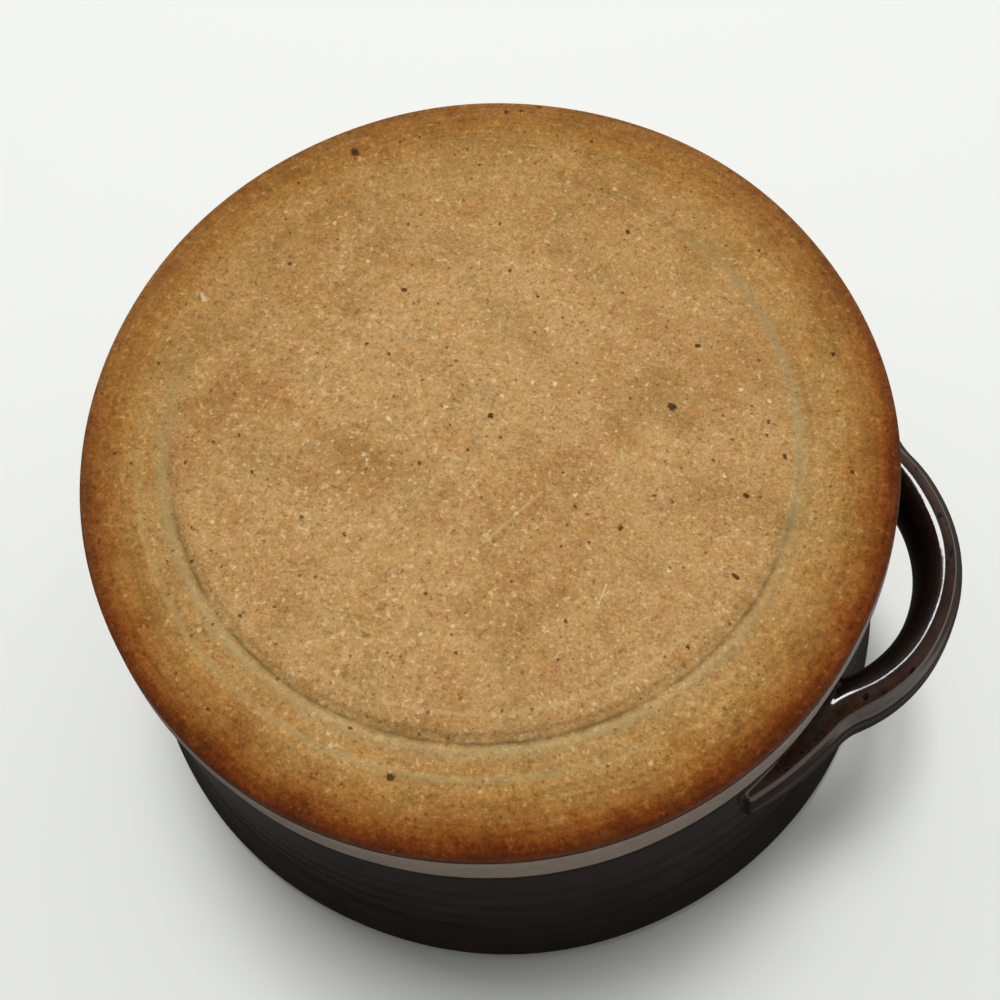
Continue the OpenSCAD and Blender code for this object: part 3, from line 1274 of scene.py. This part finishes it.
@dataclass
class EarHandle:
    """The pulled strap handle: an ear, two bends and two tails along the wall. Sizes are in millimetres.

    The strap swells towards the bends, between shares of the way from the middle of the ear to the end of a tail.
    The seat is a slab just under the face of the wall.
    """

    bowl: ThrownBowl
    strap_w: float = 12.5
    strap_t: float = 5.6
    strap_tilt: float = 8.0
    outer_share: float = 0.54
    tail_taper: float = 0.18
    strap_rise: float = 0.8
    finger_gap: float = 5.4
    loop_r: float = 21.5
    bend_r: float = 8.5
    tail_r: float = 46.0
    tail_a: float = 36.5
    tip_proud: float = 1.4
    corner: float = 0.48
    full: float = 1.06
    root_swell: float = 0.12
    end_cover: float = 0.9
    ridge: float = 0.22
    ridge_gap: float = 3.4
    ridge_lean: float = 4.0
    ridge_in: Point = (-0.2, 1.2)
    ridge_from: Point = (58.0, 60.0)
    swell_from: Point = (0.08, 0.4)
    swell_to: Point = (0.5, 0.75)
    seat_deep: float = 2.2
    seat_over: float = 3.0
    seat_rise: float = 0.9
    seat_sweep: float = 92.0
    stray_size: float = 9.0
    stray: float = 0.2
    voxel: float = 0.32
    sunk: float = 0.12
    soften: float = 0.5
    soften_times: int = 20
    corner_steps: int = 9
    tail_steps: int = 24
    bend_steps: int = 12
    loop_steps: int = 24
    seat_steps: int = 60

    def __post_init__(self) -> None:
        """Works out where the arcs of the strap's plan meet."""
        bowl = self.bowl
        self.middle_z = bowl.wall_foot[1] + self.strap_rise + self.strap_w / 2
        face = bowl.wall_at(self.middle_z) + bowl.glaze_t
        tip, turn = face + self.tip_proud, math.radians(self.tail_a)
        outer = self.tail_r + self.strap_t / 2
        self.tail_c = tip * math.cos(turn) - math.sqrt(outer**2 - (tip * math.sin(turn)) ** 2)
        self.loop_c = face + self.finger_gap + self.strap_t / 2 - self.loop_r
        span, reach = self.loop_r + self.bend_r, self.loop_c - self.tail_c
        self.loop_a = math.acos(((self.tail_r + self.bend_r) ** 2 - reach**2 - span**2) / (2 * reach * span))
        self.bend_c: Point = (self.loop_c + span * math.cos(self.loop_a), span * math.sin(self.loop_a))
        self.root_a = math.atan2(self.bend_c[1], self.bend_c[0] - self.tail_c)
        self.tip_a = math.atan2(tip * math.sin(turn), tip * math.cos(turn) - self.tail_c)

    def stations(self) -> list[tuple[float, float, float]]:
        """Places along the strap from one tail's end to the other.

        Returns:
            x, y and the azimuth of the outer side at each place.
        """
        half = []
        end = self.tip_a + self.end_cover / self.tail_r
        for i in range(self.tail_steps + 1):
            a = end + (self.root_a - end) * i / self.tail_steps
            half.append((self.tail_c + self.tail_r * math.cos(a), self.tail_r * math.sin(a), a))
        for i in range(1, self.bend_steps + 1):
            a = self.root_a + (self.loop_a - self.root_a) * i / self.bend_steps
            half.append((self.bend_c[0] - self.bend_r * math.cos(a), self.bend_c[1] - self.bend_r * math.sin(a), a))
        for i in range(1, self.loop_steps + 1):
            a = self.loop_a * (1 - i / self.loop_steps)
            half.append((self.loop_c + self.loop_r * math.cos(a), self.loop_r * math.sin(a), a))
        return [*half, *((x, -y, -a) for x, y, a in reversed(half[:-1]))]

    def build_glaze(self, material: Material) -> Object:
        """Pulls the strap, bends it into the ear and lets the glaze run into the corner with the wall.

        Args:
            material: finish of the coat.

        Returns:
            The dressed piece.
        """
        strap = self._strap()
        pick(strap, self._seat())
        bpy.ops.object.join()
        blend = strap.modifiers.new("run_together", "REMESH")
        blend.mode = "VOXEL"
        blend.voxel_size = self.voxel * MM
        apply(strap, blend)
        soften = strap.modifiers.new("soften", "SMOOTH")
        soften.factor = self.soften
        soften.iterations = self.soften_times
        apply(strap, soften)
        relief(strap, Axis.OUT, self.ridge, self._ridges)
        wander(strap, HAND_SIZE, HAND_STRAY)
        wander(strap, self.stray_size, self.stray)
        return dress(strap, material, "iron_glaze", "handle_glaze")

    def _ridges(self, radius: float, azimuth: float, height: float) -> float:
        """Works out the ridges that pulling left along the outer face.

        Args:
            radius: distance from the axis.
            azimuth: angle from the handle, in radians.
            height: height over the base.

        Returns:
            Share from 0 to 1.
        """
        away = math.hypot(radius * math.cos(azimuth) - self.loop_c, radius * math.sin(azimuth))
        start, full = (self.loop_r + step for step in self.ridge_in)
        outer = smooth(start, full, away) * smooth(*self.ridge_from, radius)
        rise = height - self.middle_z - math.tan(math.radians(self.ridge_lean)) * (away - self.loop_r)
        return outer * (0.5 + 0.5 * math.cos(rise * math.tau / self.ridge_gap))

    def _strap(self) -> Object:
        """Extrudes the strap's section along its plan.

        Returns:
            The closed strap.
        """
        strap = begin("handle_glaze_coat", 1)
        bpy.ops.mesh.bevel(offset=self.corner, segments=self.corner_steps, affect="VERTICES", profile=0.5)
        full = self.full * MM
        bpy.ops.transform.resize(value=(self.strap_t * full, self.strap_w * full, 1), center_override=(0, 0, 0))
        bpy.ops.transform.translate(value=((self.outer_share - 0.5) * self.strap_t * MM, 0, 0))
        self._turn(90, "X", Vector((0, 0, 0)))
        self._turn(self.strap_tilt, "Y", Vector((0, 0, 0)))
        places = self.stations()
        count = len(places) - 1
        tall, thick, azimuth, centre = 1.0, 1.0, 0.0, Vector((0, 0, 0))
        for i, (x, y, a) in enumerate(places):
            target = Vector((x * MM, y * MM, self.middle_z * MM))
            if i:
                bpy.ops.mesh.extrude_region_move(TRANSFORM_OT_translate={"value": target - centre})
            else:
                bpy.ops.transform.translate(value=target - centre)
            self._turn(math.degrees(a - azimuth), "Z", target)
            reach = abs(2 * i / count - 1)
            height = 1 - self.tail_taper * reach**3
            near_bend = smooth(*self.swell_from, reach) * (1 - smooth(*self.swell_to, reach))
            swell = 1 + self.root_swell * near_bend
            grow = (swell / thick, swell / thick, height / tall)
            bpy.ops.transform.resize(value=grow, center_override=target)
            tall, thick, azimuth, centre = height, swell, a, target
        close()
        return strap

    def _turn(self, degrees: float, axis: str, centre: Vector) -> None:
        """Turns the selection by the right-hand rule, which the operator counts the other way.

        Args:
            degrees: the angle.
            axis: name of the axis.
            centre: a point on the axis, in metres.
        """
        bpy.ops.transform.rotate(
            value=-math.radians(degrees), orient_axis=axis, orient_type="GLOBAL", center_override=centre
        )

    def _seat(self) -> Object:
        """Makes a slab just under the face of the wall, for the glaze to run on to.

        Returns:
            The closed slab.
        """
        bowl = self.bowl
        seat = begin("handle_seat", 1)
        bpy.ops.mesh.delete(type="ONLY_FACE")
        bpy.ops.mesh.select_all(action="SELECT")
        high = self.strap_w + self.seat_over
        bpy.ops.transform.resize(value=(self.seat_deep * MM, high * MM, 1), center_override=(0, 0, 0))
        self._turn(90, "X", Vector((0, 0, 0)))
        self._turn(bowl.wall_lean, "Y", Vector((0, 0, 0)))
        middle_z = self.middle_z + self.seat_rise
        middle_r = bowl.wall_at(middle_z) + bowl.glaze_t - self.sunk - self.seat_deep / 2
        bpy.ops.transform.translate(value=(middle_r * MM, 0, middle_z * MM))
        self._turn(self.seat_sweep / 2, "Z", Vector((0, 0, 0)))
        sweep = math.radians(self.seat_sweep)
        bpy.ops.mesh.spin(steps=self.seat_steps, angle=sweep, center=(0, 0, 0), axis=(0, 0, 1))
        bpy.ops.mesh.select_all(action="SELECT")
        bpy.ops.mesh.fill_holes(sides=4)
        close()
        return seat


@dataclass(frozen=True)
class Lamp:
    """A soft lamp that looks at the bowl: place and size in metres, power in watts and the way of its width.

    Mirrors and matt surfaces may each be kept from seeing it, and so may everything but the handle.
    """

    name: str
    place: Place
    size: Point
    power: float
    right: Place = (1, 0, 0)
    glossy: bool = True
    diffuse: bool = True
    handle_only: bool = False


@dataclass
class Studio:
    """Cloth, floor, lamps and camera, round the bowl with its handle. Sizes are in metres, the lens in millimetres.

    The cloth hides from cameras that look along it, and carries a painted shadow of the bowl near the rim that only
    reflections show. The room's light fades from the far side to the near one.
    """

    handle: Object
    rim_z: float = 0.0641
    floor_z: float = -0.0001
    sheet_steps: int = 96
    cloth: str = "#F1F2EE"
    cloth_hole: float = 0.0605
    cloth_reach: float = 0.6
    cloth_fades: Point = (0.5, 0.6)
    along_cloth: Point = (0.5, 0.6)
    pale: str = "#DFE0DC"
    floor_hole: float = 0.044
    floor_reach: float = 3.0
    floor_fades: Point = (0.20, 0.75)
    # Painted shadow of the bowl on the cloth near the rim, which only the glaze's reflections show
    painted_rim_shadow: str = "#080706"
    painted_rim_shadow_fades: Fade = (0.15, 0.19, 0.92, 0.0)
    aim: Place = (0, 0, 0.03)
    lamps: tuple[Lamp, ...] = (
        Lamp("key_below", (-0.085, -0.29, -0.94), (0.28, 0.28), 6.8, glossy=False),
        Lamp(
            "gleam_below",
            (-0.10, -0.205, -0.92),
            (0.56, 0.18),
            6.0,
            (0.94, -0.342, 0),
            diffuse=False,
            handle_only=True,
        ),
        Lamp("band_fill", (0.42, 0.90, 0.32), (0.5, 0.5), 5.0, glossy=False),
        Lamp("key_above", (-0.70, -0.90, 1.40), (0.9, 0.9), 10.0),
        Lamp("fill_above", (1.20, -0.30, 1.00), (0.9, 0.9), 3.5),
    )
    air: str = "#FBFCFA"
    near_side: Place = (0.22, 0.96, 0.25)
    room_fades: Fade = (-0.8, 0.3, 0.80, 0.10)
    mirrored_room: float = 0.4
    backdrop: float = 0.86
    camera_place: Place = (0.0255, 0.0542, -0.1305)
    camera_forward: Place = (-0.1471, -0.3253, 0.9345)
    camera_right: Place = (0.959, -0.281, 0.053)
    sensor: float = 36.0
    lens: float = 39.6
    clip_start: float = 0.01

    def build(self) -> None:
        """Sets the stage for the view from below and for the views from above."""
        self._cloth()
        self._floor()
        self._lamps()
        self._world()
        self._camera()

    def _sheet(self, name: str, hole: float, reach: float, height: float, facing_down: bool) -> Object:
        """Lays a flat ring that shows from one side.

        Args:
            name: the sheet's name.
            hole: radius of the hole round the axis.
            reach: outer radius.
            height: height of the sheet.
            facing_down: whether it shows from below.

        Returns:
            The stage object.
        """
        settle()
        bpy.ops.mesh.primitive_circle_add(vertices=self.sheet_steps, radius=hole, location=(0, 0, 0))
        sheet = bpy.context.object
        sheet.name = sheet.data.name = name
        edit(sheet)
        bpy.ops.transform.translate(value=(0, 0, height))
        bpy.ops.mesh.extrude_region_move()
        bpy.ops.transform.resize(value=(reach / hole, reach / hole, 1), center_override=(0, 0, height))
        close()
        if (sheet.data.polygons[0].normal.z < 0) != facing_down:
            edit(sheet)
            bpy.ops.mesh.flip_normals()
            settle()
        sheet.visible_shadow = False
        return sheet

    def _one_sided(self, name: str, colour: str, steep_only: bool, fade: Point) -> Material:
        """Makes a plain pale finish that shows from its front and fades out far from the bowl.

        Args:
            name: the material's name.
            colour: its colour.
            steep_only: whether it hides from cameras that look along it, and shows a painted shadow of the bowl in
                reflections.
            fade: distances at which it starts and ends to fade.

        Returns:
            The material.
        """
        made = bpy.data.materials.new(name)
        nodes = Nodes(made)
        tone: Value = colour
        place = nodes.add("TexCoord", out="Object")
        away = nodes.add("VectorMath", (place,), "Value", operation="LENGTH")
        far = nodes.add("MapRange", (away, *fade), interpolation_type="SMOOTHSTEP")
        back = nodes.add("NewGeometry", out="Backfacing")
        hidden = nodes.add("Math", (back, far), operation="MAXIMUM")
        if steep_only:
            facing = nodes.add("LayerWeight", {"Blend": 0.5}, "Facing")
            low = nodes.add("MapRange", (facing, *self.along_cloth))
            seen = nodes.add("LightPath", out=Ray.CAMERA.value)
            along = nodes.add("Math", (low, seen), operation="MULTIPLY")
            hidden = nodes.add("Math", (hidden, along), operation="MAXIMUM")
            # Painted shadow of the bowl near the rim, for reflections only
            shade = nodes.add("MapRange", (away, *self.painted_rim_shadow_fades), interpolation_type="SMOOTHSTEP")
            amount = nodes.add("Math", (seen.node.outputs[Ray.GLOSSY.value], shade), operation="MULTIPLY")
            tone = nodes.add("Mix", {0: amount, 6: colour, 7: self.painted_rim_shadow}, 2, data_type="RGBA")
        shader = nodes.add("BsdfDiffuse", {"Color": tone})
        clear = nodes.add("BsdfTransparent")
        nodes.add("OutputMaterial", {"Surface": nodes.add("MixShader", (hidden, shader, clear))})
        return made

    def _cloth(self) -> None:
        """Lays the cloth against the rim, for the view from below."""
        cloth = self._sheet("cloth", self.cloth_hole, self.cloth_reach, self.rim_z, True)
        cloth.data.materials.append(self._one_sided("cotton_plain_pale", self.cloth, True, self.cloth_fades))

    def _floor(self) -> None:
        """Lays the floor under the base, for the views from above."""
        floor = self._sheet("floor", self.floor_hole, self.floor_reach, self.floor_z, False)
        floor.data.materials.append(self._one_sided("floor_plain_pale", self.pale, False, self.floor_fades))
        floor.visible_glossy = False
        floor.visible_diffuse = False

    def _aimed(self, place: Place, forward: Vector, right: Place) -> Matrix:
        """Works out the stand of a lamp or camera.

        Args:
            place: where it stands.
            forward: the way it looks.
            right: roughly its right-hand side.

        Returns:
            The object's matrix.
        """
        ahead = forward.normalized()
        across = Vector(right)
        across = (across - across.dot(ahead) * ahead).normalized()
        turn = Matrix((across, across.cross(ahead), -ahead)).transposed().to_4x4()
        return Matrix.Translation(place) @ turn

    def _lamps(self) -> None:
        """Hangs the lamps below the base and above the rim, and the long one that only the handle mirrors."""
        for lamp in self.lamps:
            settle()
            bpy.ops.object.light_add(type="AREA")
            light = bpy.context.object
            light.name = light.data.name = lamp.name
            light.data.shape = "RECTANGLE"
            light.data.size, light.data.size_y = lamp.size
            light.data.energy = lamp.power
            light.matrix_world = self._aimed(lamp.place, Vector(self.aim) - Vector(lamp.place), lamp.right)
            light.visible_glossy = lamp.glossy
            light.visible_diffuse = lamp.diffuse
            if lamp.handle_only:
                mirrors = bpy.data.collections.new("gleam_mirrors")
                mirrors.objects.link(self.handle)
                light.light_linking.receiver_collection = mirrors

    def _world(self) -> None:
        """Fills the room with even pale light, less on the near side and less in reflections."""
        world = bpy.data.worlds.new("room")
        bpy.context.scene.world = world
        nodes = Nodes(world)
        way = nodes.add("TexCoord", out="Generated")
        near = nodes.add("VectorMath", (way, self.near_side), "Value", operation="DOT_PRODUCT")
        room = nodes.add("MapRange", (near, *self.room_fades), interpolation_type="SMOOTHSTEP")
        dimmed = nodes.add("Math", (room, self.mirrored_room), operation="MULTIPLY")
        seen = nodes.add("LightPath", out=Ray.CAMERA.value)
        glossy = seen.node.outputs[Ray.GLOSSY.value]
        strength = nodes.add("Mix", {0: glossy, 2: room, 3: dimmed}, data_type="FLOAT")
        strength = nodes.add("Mix", {0: seen, 2: strength, 3: self.backdrop}, data_type="FLOAT")
        nodes.add("OutputWorld", (nodes.add("Background", (self.air, strength)),))

    def _camera(self) -> None:
        """Puts the camera where the photograph was taken from, below the upright bowl."""
        settle()
        bpy.ops.object.camera_add()
        camera = bpy.context.object
        camera.name = camera.data.name = "camera"
        camera.data.sensor_width = self.sensor
        camera.data.lens = self.lens
        camera.data.clip_start = self.clip_start
        camera.matrix_world = self._aimed(self.camera_place, Vector(self.camera_forward), self.camera_right)
        bpy.context.scene.camera = camera


def main() -> None:
    """Builds and dresses the bowl piece by piece and sets the stage."""
    logging.basicConfig(level=logging.INFO, format="%(name)s: %(message)s")
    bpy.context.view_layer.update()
    bpy.context.scene.view_settings.view_transform = "Standard"
    clay = ToastedStoneware().material()
    bowl = ThrownBowl()
    bowl.build_clay(clay)
    wall_edges = ((bowl.glaze_line, LINE_THIN), (bowl.bowl_h, LIP_THIN))
    bowl.build_wall_glaze(IronGlaze("iron_glaze_wall", wall_edges, bowl.band_h + SATIN_OVER).material())
    bowl.build_liner(IronGlaze("iron_glaze_liner", wall_edges[1:], drift="#2C1B11").material())
    handle = EarHandle(bowl)
    half = handle.strap_w / 2
    strap_edges = tuple((handle.middle_z + way * half, STRAP_THIN) for way in (-1, 1))
    ear = (handle.loop_c, handle.loop_r)
    strap = handle.build_glaze(IronGlaze("iron_glaze_handle", strap_edges, ear=ear, rust="#3F261A").material())
    for node, material, slot in (
        ("handle_strap", clay, "stoneware"),
        ("handle_slip", FiredSlip().material(), "slip"),
    ):
        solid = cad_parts[node]
        solid.data.materials.clear()
        solid.data.materials.append(material)
        LOG.info("%s: kept as it is", node)
    Studio(strap).build()


if __name__ == "__main__":
    main()
